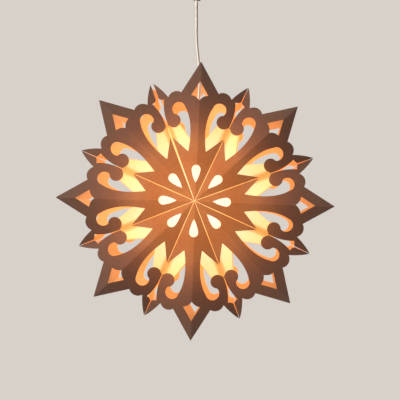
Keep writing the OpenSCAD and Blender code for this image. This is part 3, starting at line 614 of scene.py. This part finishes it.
def folded(flat, seed):
    """Half a sheet in space, its ridge along X: centre + s R + d A, for s along the ridge R and d across it.

    The fall towards the seam follows sqrt(d^2 + c^2) - c, which rounds the crease. Outwards from that, the paper has
    a belly between ridge and seam, a lift at the tip and another at its free edge, which differ from sheet to sheet.
    """
    rng = np.random.default_rng(seed)
    s, d = flat @ RIDGE_WAY, np.maximum(flat @ RIDGE_SIDE, 0)
    seam = np.array([SEAM_VEC[0] * math.cos(HALF), -SEAM_VEC[0] * math.sin(HALF), SEAM_VEC[2]])
    across = seam - (seam @ RIDGE_LINE) * RIDGE_LINE
    across = across / np.linalg.norm(across)
    width = np.maximum(s * math.tan(RIDGE_ANGLE), 1.0)
    belly = BELLY * width * np.sin(np.pi * np.clip(d / width, 0, 1))
    lift = rng.uniform(*TIP_LIFT) * ramp(s, *TIP_RUN) ** 2
    free = rng.uniform(*EDGE_LIFT) * ramp(d, *EDGE_RUN) ** 2 * ramp(s, *EDGE_START)
    fall = (across @ INWARDS) * (np.sqrt(d ** 2 + CREASE ** 2) - CREASE) - belly - lift - free
    level = np.stack([s * 0, d * across[1], s * 0], 1)
    return CENTRE + s[:, None] * RIDGE_LINE + level + fall[:, None] * INWARDS


def sheet_seed(k, back):
    """Seed of one sheet's own bends."""
    return 100 * k + (7 if back else 0)


def hung(points, k, back=False):
    """Points of one point's own frame put at point k of the hanging star."""
    p = points * [1, 1, -1 if back else 1]
    a = math.pi / 2 - HANG_TURN - (k - 1) * PITCH
    x = p[:, 0] * math.cos(a) - p[:, 1] * math.sin(a)
    y = p[:, 0] * math.sin(a) + p[:, 1] * math.cos(a)
    return np.stack([x, -p[:, 2], y - DROP], 1)


def shell(top, bottom, tris):
    """Sheet from its outer face, its inner face and the triangles of both, with quads round its edges.

    An edge of the sheet is one that only one triangle uses. Returns the shape, the face kinds and the sharp edges.
    """
    n = len(top)
    runs = np.vstack([tris[:, [0, 1]], tris[:, [1, 2]], tris[:, [2, 0]]])
    _, first, count = np.unique(np.sort(runs, axis=1), axis=0, return_index=True, return_counts=True)
    rim = runs[first[count == 1]]
    walls = np.stack([rim[:, 1], rim[:, 0], rim[:, 0] + n, rim[:, 1] + n], 1)
    faces = tris.tolist() + (tris[:, ::-1] + n).tolist() + walls.tolist()
    kinds = np.repeat([0, 1, 2], [len(tris), len(tris), len(walls)])
    return (np.vstack([top, bottom]), faces), kinds, np.vstack([rim, rim + n])


def grid_tris(rows, cols):
    """Triangles of a grid of rows and columns of points."""
    i, j = np.meshgrid(np.arange(rows - 1), np.arange(cols - 1), indexing="ij")
    a = (i * cols + j).ravel()
    return np.vstack([np.stack([a, a + cols, a + cols + 1], 1), np.stack([a, a + cols + 1, a + 1], 1)])


def gathered(shells):
    """Several shells as one shape, with their sharp edges."""
    starts = np.cumsum([0] + [len(shape[0]) for shape, _, _ in shells])
    return joined(*[s[0] for s in shells]), np.vstack([s[2] + at for s, at in zip(shells, starts)])


# Front and back sheets
flat_half, half_tris = half_sheet_mesh()
off_ridge = flat_half @ RIDGE_SIDE
on_crease = off_ridge < 1e-3
# Nearness to the ridge, which the paper material turns into a paler line, part painted highlight
sheet_crease = np.exp(-np.concatenate([off_ridge, off_ridge[~on_crease]]) / CREASE_MARK_FALLOFF)
other = np.where(on_crease, np.arange(len(flat_half)), np.cumsum(~on_crease) - 1 + len(flat_half))
sheet_tris = np.vstack([half_tris, other[half_tris][:, ::-1]])
for side, back in SIDES:
    for k in range(1, POINTS + 1):
        half = folded(flat_half, sheet_seed(k, back))
        top = np.vstack([half, half[~on_crease] * [1, -1, 1]])
        sheet, kinds, rims = shell(hung(top, k, back), hung(top + PAPER_T * INWARDS, k, back),
                                   sheet_tris[:, ::-1] if back else sheet_tris)
        piece(f"{side}_paper_{k}", "star", "paper", sheet, [outer_paper, inner_paper, edge_paper],
              f"{side}_sheet_{k}", kinds, rims, crease=np.tile(sheet_crease, 2))

# Liners: two pleats of tissue behind each sheet, from near the centre out to the inner wall
LINER_OPEN, LINER_END = 8.0, 150.0
RIDGE_CLEAR, WALL_CLEAR, SEAM_CLEAR, SHEET_CLEAR = 0.4, 0.3, 0.1, 0.1
RIPPLE, SEAM_BAND = (0.4, 1.2), 7.0
CLOSING_SIDES = {"loop": (1, -1), "hook": (POINTS, 1)}
WALL_A, WALL_B = np.array([WALL_TIP, PAPER_T / 2]), RIDGE_WAY * WALL_FOLD
WALL_LEN = np.linalg.norm(WALL_B - WALL_A)
WALL_DIR = (WALL_B - WALL_A) / WALL_LEN
WALL_SIDE = np.array([-WALL_DIR[1], WALL_DIR[0]])
liner_x = np.concatenate([np.linspace(LINER_OPEN, WALL_B[0], 34), np.linspace(WALL_B[0], LINER_END, 30)[1:]])
liner_v = np.linspace(0, 1, 15)
ridge_edge = liner_x * math.tan(RIDGE_ANGLE) - RIDGE_CLEAR
wall_edge = WALL_A[1] + (liner_x - WALL_TIP) * WALL_DIR[1] / WALL_DIR[0] - WALL_CLEAR
liner_y = SEAM_CLEAR + liner_v * (np.minimum(ridge_edge, wall_edge)[:, None] - SEAM_CLEAR)
liner_flat = np.stack([np.repeat(liner_x, len(liner_v)), liner_y.ravel()], 1)
liner_tris = grid_tris(len(liner_x), len(liner_v))
liner_mid = np.outer(np.sin(np.pi * np.linspace(0, 1, len(liner_x))), np.sin(np.pi * liner_v)).ravel()
# Mask of the painted shade along the seams: 1 at a seam, gone about SEAM_BAND across; left off at the closing seam,
# which stays bright
liner_seam_shade = np.exp(-(liner_flat[:, 1] / SEAM_BAND) ** 4)
for side, back in SIDES:
    pleats, bands = [], []
    for k in range(1, POINTS + 1):
        ripple = np.random.default_rng(500 + sheet_seed(k, back)).uniform(*RIPPLE)
        sunk = PAPER_T + SHEET_CLEAR + ripple * liner_mid
        face = folded(liner_flat, sheet_seed(k, back)) + sunk[:, None] * INWARDS
        for mirror in (1, -1):
            top = face * [1, mirror, 1]
            tris = liner_tris if (mirror == 1) != back else liner_tris[:, ::-1]
            pleats.append(shell(hung(top, k, back), hung(top + LINER_T * INWARDS, k, back), tris))
            bands.append(np.tile(liner_seam_shade, 2) * (not (back and (k, mirror) in CLOSING_SIDES.values())))
    tissue, rims = gathered(pleats)
    piece(f"{side}_tissue", "star", "liner", tissue, [liner_paper], f"{side}_liner", None, rims,
          seam=np.concatenate(bands))

# Inner walls: one folded strip in each point, with joining tabs at its ends and glue flaps on the sheets
FLAP_W, FLAP_L, FLAP_CLEAR = 6.0, 17.0, 0.05
INNER_FLAP, OUTER_FLAP = WALL_LEN - FLAP_L - 2.0, WALL_TIP - ARROW_FOOT[0] - FLAP_L - 4.0
NECK_HOLE_R = 9.5
WALL_BOW, WALL_CORNER, TAB_STEP = 0.9, 1.5, 0.6


def half_plane(p, depth):
    """Point of a half sheet's plane in its point's own frame, sunk by a depth."""
    x, y, z = CENTRE + p[0] * E1 + p[1] * E2 - depth * E3
    c, s = math.cos(HALF), math.sin(HALF)
    return np.array([x * c + y * s, y * c - x * s, z])


def flap(start, side, k, back, mirror):
    """Glue flap from the wall's line, slanted at the end towards the ridge, just under its sheet."""
    out = side * FLAP_W * WALL_SIDE
    a = WALL_A + start * WALL_DIR
    b = a + FLAP_L * WALL_DIR
    c = b + out - 1.1 * FLAP_W * WALL_DIR
    u, v = np.meshgrid(np.linspace(0, 1, 12), np.linspace(0, 1, 5), indexing="ij")
    tris = grid_tris(*u.shape)
    u, v = u.reshape(-1, 1), v.reshape(-1, 1)
    flat = (1 - v) * ((1 - u) * a + u * b) + v * ((1 - u) * (a + out) + u * c)
    face = folded(flat, sheet_seed(k, back)) + (PAPER_T + FLAP_CLEAR) * INWARDS
    near, far = (hung(f * [1, mirror, 1], k, back) for f in (face, face + PAPER_T * INWARDS))
    return shell(near, far, tris if (mirror == side) != back else tris[:, ::-1])


def with_neck_hole(at, plan, s, z, tris):
    """Wall's grid with the hole for the lamp's neck, where x^2 + z^2 < r^2 about the lamp's axis.

    Triangles inside it go, and the points round it move on to its rim.
    """
    turn = math.pi / 2 - HANG_TURN
    lateral = plan[:, 0] * math.cos(turn) - plan[:, 1] * math.sin(turn)
    x = np.repeat(lateral, z.shape[1]).reshape(z.shape)
    gone = (np.stack([x.ravel(), z.ravel()], 1)[tris].mean(1) ** 2).sum(1) < NECK_HOLE_R ** 2
    rim = np.zeros(z.size, bool)
    rim[np.intersect1d(tris[gone], tris[~gone])] = True
    grow = np.where(rim.reshape(z.shape), NECK_HOLE_R / np.maximum(np.hypot(x, z), 1e-6), 1.0)
    order = np.argsort(lateral)
    s = np.where(grow != 1.0, np.interp(x * grow, lateral[order], at[order]), s)
    return s, z * grow, tris[~gone]


def wall_shell(k):
    """Folded strip: a path tab, leaf, leaf, tab in plan, with soft corners, carried up and down to the sheets.

    A leaf bows by b sin^2(pi t) over its length t. Returns the shell and how near each point is to a fold.
    """
    rng = np.random.default_rng(900 + k)
    a, b = half_plane(WALL_A, 1.5 * PAPER_T), half_plane(WALL_B, 1.5 * PAPER_T)
    way = (b - a)[:2] / np.linalg.norm((b - a)[:2])
    off = PAPER_T / 2 * np.array([way[1], -way[0]])
    fold = a[:2] + off - way * (a[1] + off[1]) / way[1]
    tab_end = a[:2] + off + TAB_L * np.array([math.cos(HALF), -math.sin(HALF)])
    corners = np.array([tab_end, a[:2] + off, fold, (a[:2] + off) * [1, -1], tab_end * [1, -1]])
    path = softened(corners, WALL_CORNER, ring=False, n=7)
    whole = length_of(path)
    folds = np.array([TAB_L, whole / 2, whole - TAB_L])
    beside = (folds[:, None] + np.linspace(-2, 2, 9)).ravel()
    at = np.unique(np.concatenate([np.linspace(0, whole, 150), beside]))
    plan = along(path, at)
    tab_z, end_z, fold_z = half_plane((WALL_TIP + TAB_L, 0), 2 * PAPER_T)[2], a[2] - 0.1, b[2] - 0.1
    steps = [0, folds[0] - TAB_STEP, folds[0] + TAB_STEP, folds[1], folds[2] - TAB_STEP, folds[2] + TAB_STEP, whole]
    tall = np.interp(at, steps, [tab_z, tab_z, end_z, fold_z, end_z, tab_z, tab_z])
    t = (at - TAB_L) / (whole / 2 - TAB_L)
    amount = np.where(t < 1, rng.uniform(-WALL_BOW, WALL_BOW), rng.uniform(-WALL_BOW, WALL_BOW))
    bow = np.where((t > 0) & (t < 2), amount * np.sin(np.pi * np.clip(t, 0, 2)) ** 2, 0)
    normal = np.gradient(plan, axis=0)
    normal = np.stack([normal[:, 1], -normal[:, 0]], 1) / np.linalg.norm(normal, axis=1)[:, None]
    v = np.linspace(-1, 1, 41)
    z = v * tall[:, None]
    s = np.repeat(at, len(v)).reshape(z.shape)
    tris = grid_tris(*z.shape)
    if k == 1:
        s, z, tris = with_neck_hole(at, plan, s, z, tris)
    place = np.stack([np.interp(s, at, plan[:, 0]), np.interp(s, at, plan[:, 1])], -1)
    out = np.stack([np.interp(s, at, normal[:, 0]), np.interp(s, at, normal[:, 1])], -1)
    mid = place + np.interp(s, at, bow)[..., None] * out
    faces = [np.concatenate([mid + h * PAPER_T / 2 * out, z[..., None]], -1).reshape(-1, 3) for h in (1, -1)]
    # Nearness to a fold, which the paper material turns into a paler line, part painted highlight
    crease = np.exp(-np.min(np.abs(s.ravel()[:, None] - folds), axis=1) / CREASE_MARK_FALLOFF)
    used, tris = np.unique(tris, return_inverse=True)
    return shell(hung(faces[0][used], k), hung(faces[1][used], k), tris.reshape(-1, 3)), np.tile(crease[used], 2)


for k in range(1, POINTS + 1):
    strip, crease = wall_shell(k)
    flaps = [flap(start, side, k, back, mirror) for start, side in ((INNER_FLAP, -1), (OUTER_FLAP, 1))
             for back in (False, True) for mirror in (1, -1)]
    wall, rims = gathered([strip] + flaps)
    crease = np.concatenate([crease, np.zeros(len(wall[0]) - len(crease))])
    piece(f"wall_paper_{k}", "star", "paper", wall, [wall_paper], f"inner_wall_{k}", None, rims, crease=crease)

# Fastening pads at the closing seam: napped and hooked tape on the tabs of points 1 and 8
PAD_PLACE, PAD_W, PAD_H, PAD_STEP = WALL_TIP * E1[0] + 1, TAB_L - 2, 12.0, 24.0
PAD_RIM, RIM_T, NAP, PAD_CLEAR = 0.8, 0.4, 0.12, 0.05


def pad_pair(k, mirror, seed):
    """Two pads on a tab's outer face: a level back and a napped face that falls away at its rim."""
    rng = np.random.default_rng(seed)
    u, v = np.meshgrid(np.linspace(0, 1, 33), np.linspace(-1, 1, 49), indexing="ij")
    tris = grid_tris(*u.shape)
    rim = np.minimum(np.minimum(u, 1 - u) * PAD_W, (1 - np.abs(v)) * PAD_H / 2)
    c, s = math.cos(HALF), math.sin(HALF)
    pads = []
    for place in (-1, 1):
        nap = PAD_T - PAD_CLEAR - NAP * rng.random(u.shape)
        deep = RIM_T + (nap - RIM_T) * np.sqrt(ramp(rim, 0, PAD_RIM))
        x, z = PAD_PLACE + u * PAD_W, place * PAD_STEP / 2 + v * PAD_H / 2
        face, back = (hung(np.stack([x * c + y * s, mirror * (y * c - x * s), z], -1).reshape(-1, 3), k)
                      for y in (-deep, 0 * deep))
        pads.append(shell(face, back, tris if mirror == 1 else tris[:, ::-1]))
    return gathered(pads)


for name, (k, mirror) in CLOSING_SIDES.items():
    pads, rims = pad_pair(k, mirror, 40 + k)
    piece(f"{name}_tape", "star", "pad", pads, [napped_tape], f"{name}_pads", None, rims)

# Bulb, on the star's own axis, with heights from the star's centre
LAMP = np.array([0, -DROP])
GLOBE_R, GLASS_NECK_R, GLASS_T = 22.5, 6.5, 0.8
GLOBE_END, GLASS_NECK, GLASS_TOP, GLASS_BEND = 55.2, 25.0, 31.0, (1.5, 3.3)
CAP_LOW, CAP_R, CAP_L = 29.0, 6.95, 20.0
CAP_LIP, CAP_BORE, CAP_BAND = 6.6, 5.6, 3.5
CAP_END, CAP_END_R, CAP_HOLE_R = CAP_LOW + CAP_L - 0.05, 5.45, 3.0
THREAD, THREAD_T, THREAD_FADE = 2.822, 0.28, 1.5


def lamp_lathed(points, r, ring=True, sides=72):
    """Turned piece of the lamp, with heights from the star's centre and soft corners."""
    return lathed(softened(np.asarray(points, float) + LAMP, r, ring), sides)


def glass_profile(r, neck):
    """Globe of radius r that runs into a neck, from its lowest point up."""
    globe = arc((0, 0), r, -90, GLOBE_END, 40)
    bend = (neck + GLASS_BEND[0], globe[-1][1] + GLASS_BEND[1])
    return np.vstack([globe, curve(globe[-1], bend, (neck, GLASS_NECK), 8)[1:], [(neck, GLASS_TOP)]])


glass = np.vstack([glass_profile(GLOBE_R, GLASS_NECK_R),
                   glass_profile(GLOBE_R - GLASS_T, GLASS_NECK_R - GLASS_T)[::-1]]) + LAMP
glass[[0, -1], 0] = 0
piece("bulb_globe", "bulb", "bulb_glass", lathed(glass), [opal_glass], "bulb_glass", sharp=50)

cap_z = np.linspace(CAP_LOW + CAP_BAND + 0.1, CAP_LOW + CAP_L - 1.4, 90)
cap_points, cap_faces = lathed(LAMP + np.vstack([
    [(CAP_LIP, CAP_LOW), (CAP_R, CAP_LOW), (CAP_R, CAP_LOW + CAP_BAND - 0.1)],
    np.stack([cap_z * 0 + CAP_R, cap_z], 1),
    [(CAP_END_R, CAP_END), (CAP_HOLE_R, CAP_END), (CAP_HOLE_R, CAP_END - 1), (CAP_BORE, CAP_LOW + 3.1),
     (CAP_LIP, CAP_LOW + 2.1)]]))
# Screw thread: a sine of the height and the angle, sunk into the cap's outer wall between its band and its end
cap_high, cap_turn = cap_points[:, 2] + DROP - CAP_LOW, np.arctan2(cap_points[:, 1], cap_points[:, 0])
threaded = (np.hypot(cap_points[:, 0], cap_points[:, 1]) > CAP_R - 0.01) & (cap_high > CAP_BAND)
depth = THREAD_T * ramp(cap_high, CAP_BAND, CAP_BAND + THREAD_FADE) * ramp(CAP_L - 1.3 - cap_high, 0, THREAD_FADE)
sunk = np.where(threaded, depth * (1 - np.sin(2 * np.pi * cap_high / THREAD + cap_turn)), 0)
cap_points[:, :2] *= (1 - sunk / CAP_R)[:, None]
piece("bulb_screw_cap", "bulb", "cap", (cap_points, cap_faces), [cap_aluminium], "bulb_cap", sharp=40)

# Lamp holder, carrier wire and cord grip, with heights from the star's centre
SLEEVE_LOW, SLEEVE_TOP, SLEEVE_R, SLEEVE_BORE = 30.0, 66.0, 13.5, 12.0
COLLAR_R, COLLAR_L, FLUTES, FLUTE_T = 14.5, 3.0, 28, 0.35
DOME_LOW, SHOULDER, SHOULDER_R = 70.0, 87.6, 9.96
NECK_TOP, NECK_R, NECK_BORE = 103.6, 6.0, 4.1
GRIP_LOW, GRIP_TOP, GRIP_R, GRIP_END_R, GRIP_ROOT_R = 91.6, 125.6, 5.6, 3.5, 4.0
RIB_PITCH, RIB_T = 3.2, 0.35
CORD_SEAT = DROP + CORD_LOW
WIRE_HEIGHT, WIRE_R, WIRE_RING, WIRE_REACH, FOLD_OFF = 88.6, 0.9, 7.2, 34.0, 3.92
sleeve_points, sleeve_faces = lamp_lathed([
    (SLEEVE_BORE, SLEEVE_LOW), (COLLAR_R, SLEEVE_LOW), (COLLAR_R, SLEEVE_LOW + COLLAR_L),
    (SLEEVE_R, SLEEVE_LOW + COLLAR_L + 0.6), (SLEEVE_R, SLEEVE_TOP), (SLEEVE_BORE, SLEEVE_TOP)], 0.6, sides=168)
# Finger grip: shallow flutes round the collar
wide = np.hypot(sleeve_points[:, 0], sleeve_points[:, 1])
flute = FLUTE_T * (1 + np.cos(FLUTES * np.arctan2(sleeve_points[:, 1], sleeve_points[:, 0]))) / 2
sleeve_points[:, :2] *= (1 - np.where(wide > COLLAR_R - 0.6, flute, 0) / wide)[:, None]
plastic("holder_sleeve", "star", (sleeve_points, sleeve_faces))

holder_cap = np.vstack([
    [(0, SLEEVE_TOP), (SLEEVE_R, SLEEVE_TOP)],
    curve((SLEEVE_R, DOME_LOW), (SLEEVE_R, SHOULDER - 1), (SHOULDER_R, SHOULDER), 24),
    [(NECK_R, SHOULDER), (NECK_R, NECK_TOP), (NECK_BORE, NECK_TOP), (NECK_BORE, GRIP_LOW), (0, GRIP_LOW)]])
plastic("holder_cap", "star", lamp_lathed(holder_cap, 0.4, ring=False))

rib_z = np.linspace(NECK_TOP + 2.5, GRIP_TOP - 1.6, 40)
taper = (GRIP_R - GRIP_END_R) * (rib_z - NECK_TOP) / (GRIP_TOP - NECK_TOP)
rib_r = GRIP_R - taper - RIB_T * (1 - np.cos(2 * np.pi * (rib_z - rib_z[0]) / RIB_PITCH)) / 2
grip = np.vstack([
    [(0, GRIP_LOW), (GRIP_ROOT_R, GRIP_LOW), (GRIP_ROOT_R, NECK_TOP), (GRIP_R, NECK_TOP)],
    np.stack([rib_r, rib_z], 1),
    [(GRIP_END_R, GRIP_TOP), (BORE_R, GRIP_TOP), (BORE_R, CORD_SEAT), (0, CORD_SEAT)]])
plastic("cord_grip", "star", lamp_lathed(grip, 0.5, ring=False))

wire_z = WIRE_HEIGHT - DROP
arms = [rod(line((0, y * WIRE_RING, wire_z), (FOLD_OFF, y * WIRE_REACH, wire_z), 1.0), WIRE_R, (0, 0, 1), 1.0, 16)
        for y in (1, -1)]
wire_ring = hoop((0, 0, wire_z), WIRE_RING, WIRE_R, (0, 0, 1), (1, 0, 0), 16)
piece("carrier_spring_wire", "star", "wire", joined(wire_ring, *arms), [spring_wire], "carrier_wire", sharp=50)

# Ceiling cup and its bush
CUP_LOW, CUP_NECK, CUP_RIM, CUP_R, CUP_T = -64.0, -52.0, -12.0, 38.0, 1.8
LIP, LIP_H = 0.5, 2.8
BUSH_R, BUSH_LOW, FLANGE_R, BUSH_CLEAR = 5.5, -65.5, 6.8, 0.05


def cup_profile(r, neck):
    """Cup from its neck out to its rim."""
    side = curve((neck + 1, CUP_NECK + 1), (r, CUP_NECK + 3), (r, CUP_RIM - LIP_H - 0.4), 16)
    return np.vstack([[(neck, CUP_LOW), (neck, CUP_NECK)], side])


cup = np.vstack([
    cup_profile(CUP_R, BUSH_R + CUP_T),
    [(CUP_R + LIP, CUP_RIM - LIP_H), (CUP_R + LIP, CUP_RIM), (CUP_R - CUP_T, CUP_RIM)],
    cup_profile(CUP_R - CUP_T, BUSH_R)[::-1]])
plastic("ceiling_cup", "cup", lathed(softened(cup, 0.5), 128))
bush = softened([
    (BORE_R, BUSH_LOW), (FLANGE_R, BUSH_LOW), (FLANGE_R, CUP_LOW), (BUSH_R - BUSH_CLEAR, CUP_LOW),
    (BUSH_R - BUSH_CLEAR, CUP_NECK), (BORE_R, CUP_NECK)], 0.6)
piece("cup_bush_rubber", "cup", "rubber", lathed(bush), [grey_rubber], "cup_bush", sharp=40)

# Ceiling plate and hook
PLATE_L, PLATE_W, PLATE_T, SCREW_PITCH, SCREW_R = 64.0, 18.0, 2.0, 50.0, 2.25
HOOK_R, HOOK_OUT, HOOK_LOW, HOOK_CORNER, HOOK_TIP = 2.0, 6.0, -26.0, 4.0, -17.0
NUT_R, NUT_LOW = 4.0, -3.5
half_run = (PLATE_L - PLATE_W) / 2
plate_outline = closed(arc((half_run, 0), PLATE_W / 2, -90, 90, 40), arc((-half_run, 0), PLATE_W / 2, 90, 270, 40))
plate_holes = [circle((x, 0), SCREW_R, 36) for x in (-SCREW_PITCH / 2, SCREW_PITCH / 2)]
plate_holes.append(circle((0, HOOK_OUT), HOOK_R + 0.1, 36))


def on_plate(points):
    """True where the plate has metal."""
    return inside(points, plate_outline) & ~np.any([inside(points, hole) for hole in plate_holes], axis=0)


plate_flat, plate_tris = filled([plate_outline] + plate_holes, np.zeros((0, 2)), on_plate)
upper, lower = (np.column_stack([plate_flat, np.full(len(plate_flat), z)]) for z in (0.0, -PLATE_T))
strap = shell(upper, lower, plate_tris)[0]
plate = piece("ceiling_strap", "ceiling", "steel", strap, [zinc_steel], "ceiling_plate", sharp=30)
bevel = plate.modifiers.new("broken_edges", "BEVEL")
bevel.width, bevel.segments, bevel.limit_method, bevel.angle_limit = 0.25 * MM, 2, "ANGLE", math.radians(60)

hook_plan = np.vstack([
    line((HOOK_OUT, 0), (HOOK_OUT, HOOK_LOW + HOOK_CORNER), 1.0),
    arc((HOOK_OUT - HOOK_CORNER, HOOK_LOW + HOOK_CORNER), HOOK_CORNER, 0, -90, 20)[1:],
    arc((HOOK_CORNER - HOOK_OUT, HOOK_LOW + HOOK_CORNER), HOOK_CORNER, 270, 180, 20),
    [(-HOOK_OUT, HOOK_TIP)]])
hook_path = np.column_stack([np.zeros(len(hook_plan)), hook_plan])
nut_points, nut_faces = lathed(softened(
    [(0, NUT_LOW), (NUT_R, NUT_LOW), (NUT_R, -PLATE_T), (0, -PLATE_T)], 0.5, ring=False))
hook = joined(rod(hook_path, HOOK_R, (1, 0, 0), 0.7), (nut_points + [0, HOOK_OUT, 0], nut_faces))
piece("ceiling_hook_rod", "ceiling", "steel", hook, [zinc_steel], "ceiling_hook", sharp=40)

# Solids that keep their own shape inside the lamp
for name, paint in (("bulb_filament", glow_rods), ("bulb_contact", black_glass), ("holder_core", steatite),
                    ("screw_shell", brass), ("contact_tongue", brass)):
    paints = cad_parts[name].data.materials
    paints.clear()
    paints.append(paint)

# Floor, in metres
FLOOR_Z, FLOOR_R, FADE_FROM, FLOOR_SIDES = -1.35, 1.2, 0.2, 96


def floor_paper():
    """Plain matt paper that fades into the pale world with the distance from the star's axis."""
    made, tree = node_material("studio_floor_paper")
    place = add(tree, "TexCoord").outputs["Object"]
    level = add(tree, "VectorMath", {0: place, 1: (1, 1, 0)}, operation="MULTIPLY")
    far = add(tree, "VectorMath", {0: level.outputs[0]}, operation="LENGTH")
    fade = add(tree, "MapRange", {"Value": far.outputs["Value"], "From Min": FADE_FROM, "From Max": FLOOR_R,
                                  "To Min": 1.0, "To Max": 0.0}, interpolation_type="SMOOTHSTEP")
    shader = add(tree, "BsdfPrincipled", {
        "Base Color": linear(BACKDROP), "Roughness": 0.9, "Alpha": fade.outputs[0]})
    add(tree, "OutputMaterial", {"Surface": shader.outputs[0]})
    return made


floor_rim = np.column_stack([circle((0, 0), FLOOR_R, FLOOR_SIDES), np.full(FLOOR_SIDES, FLOOR_Z)])
floor_mesh = bpy.data.meshes.new("floor")
floor_mesh.from_pydata(floor_rim.tolist(), [], [list(range(FLOOR_SIDES))])
floor_mesh.materials.append(floor_paper())
floor = bpy.data.objects.new("floor", floor_mesh)
bpy.context.scene.collection.objects.link(floor)
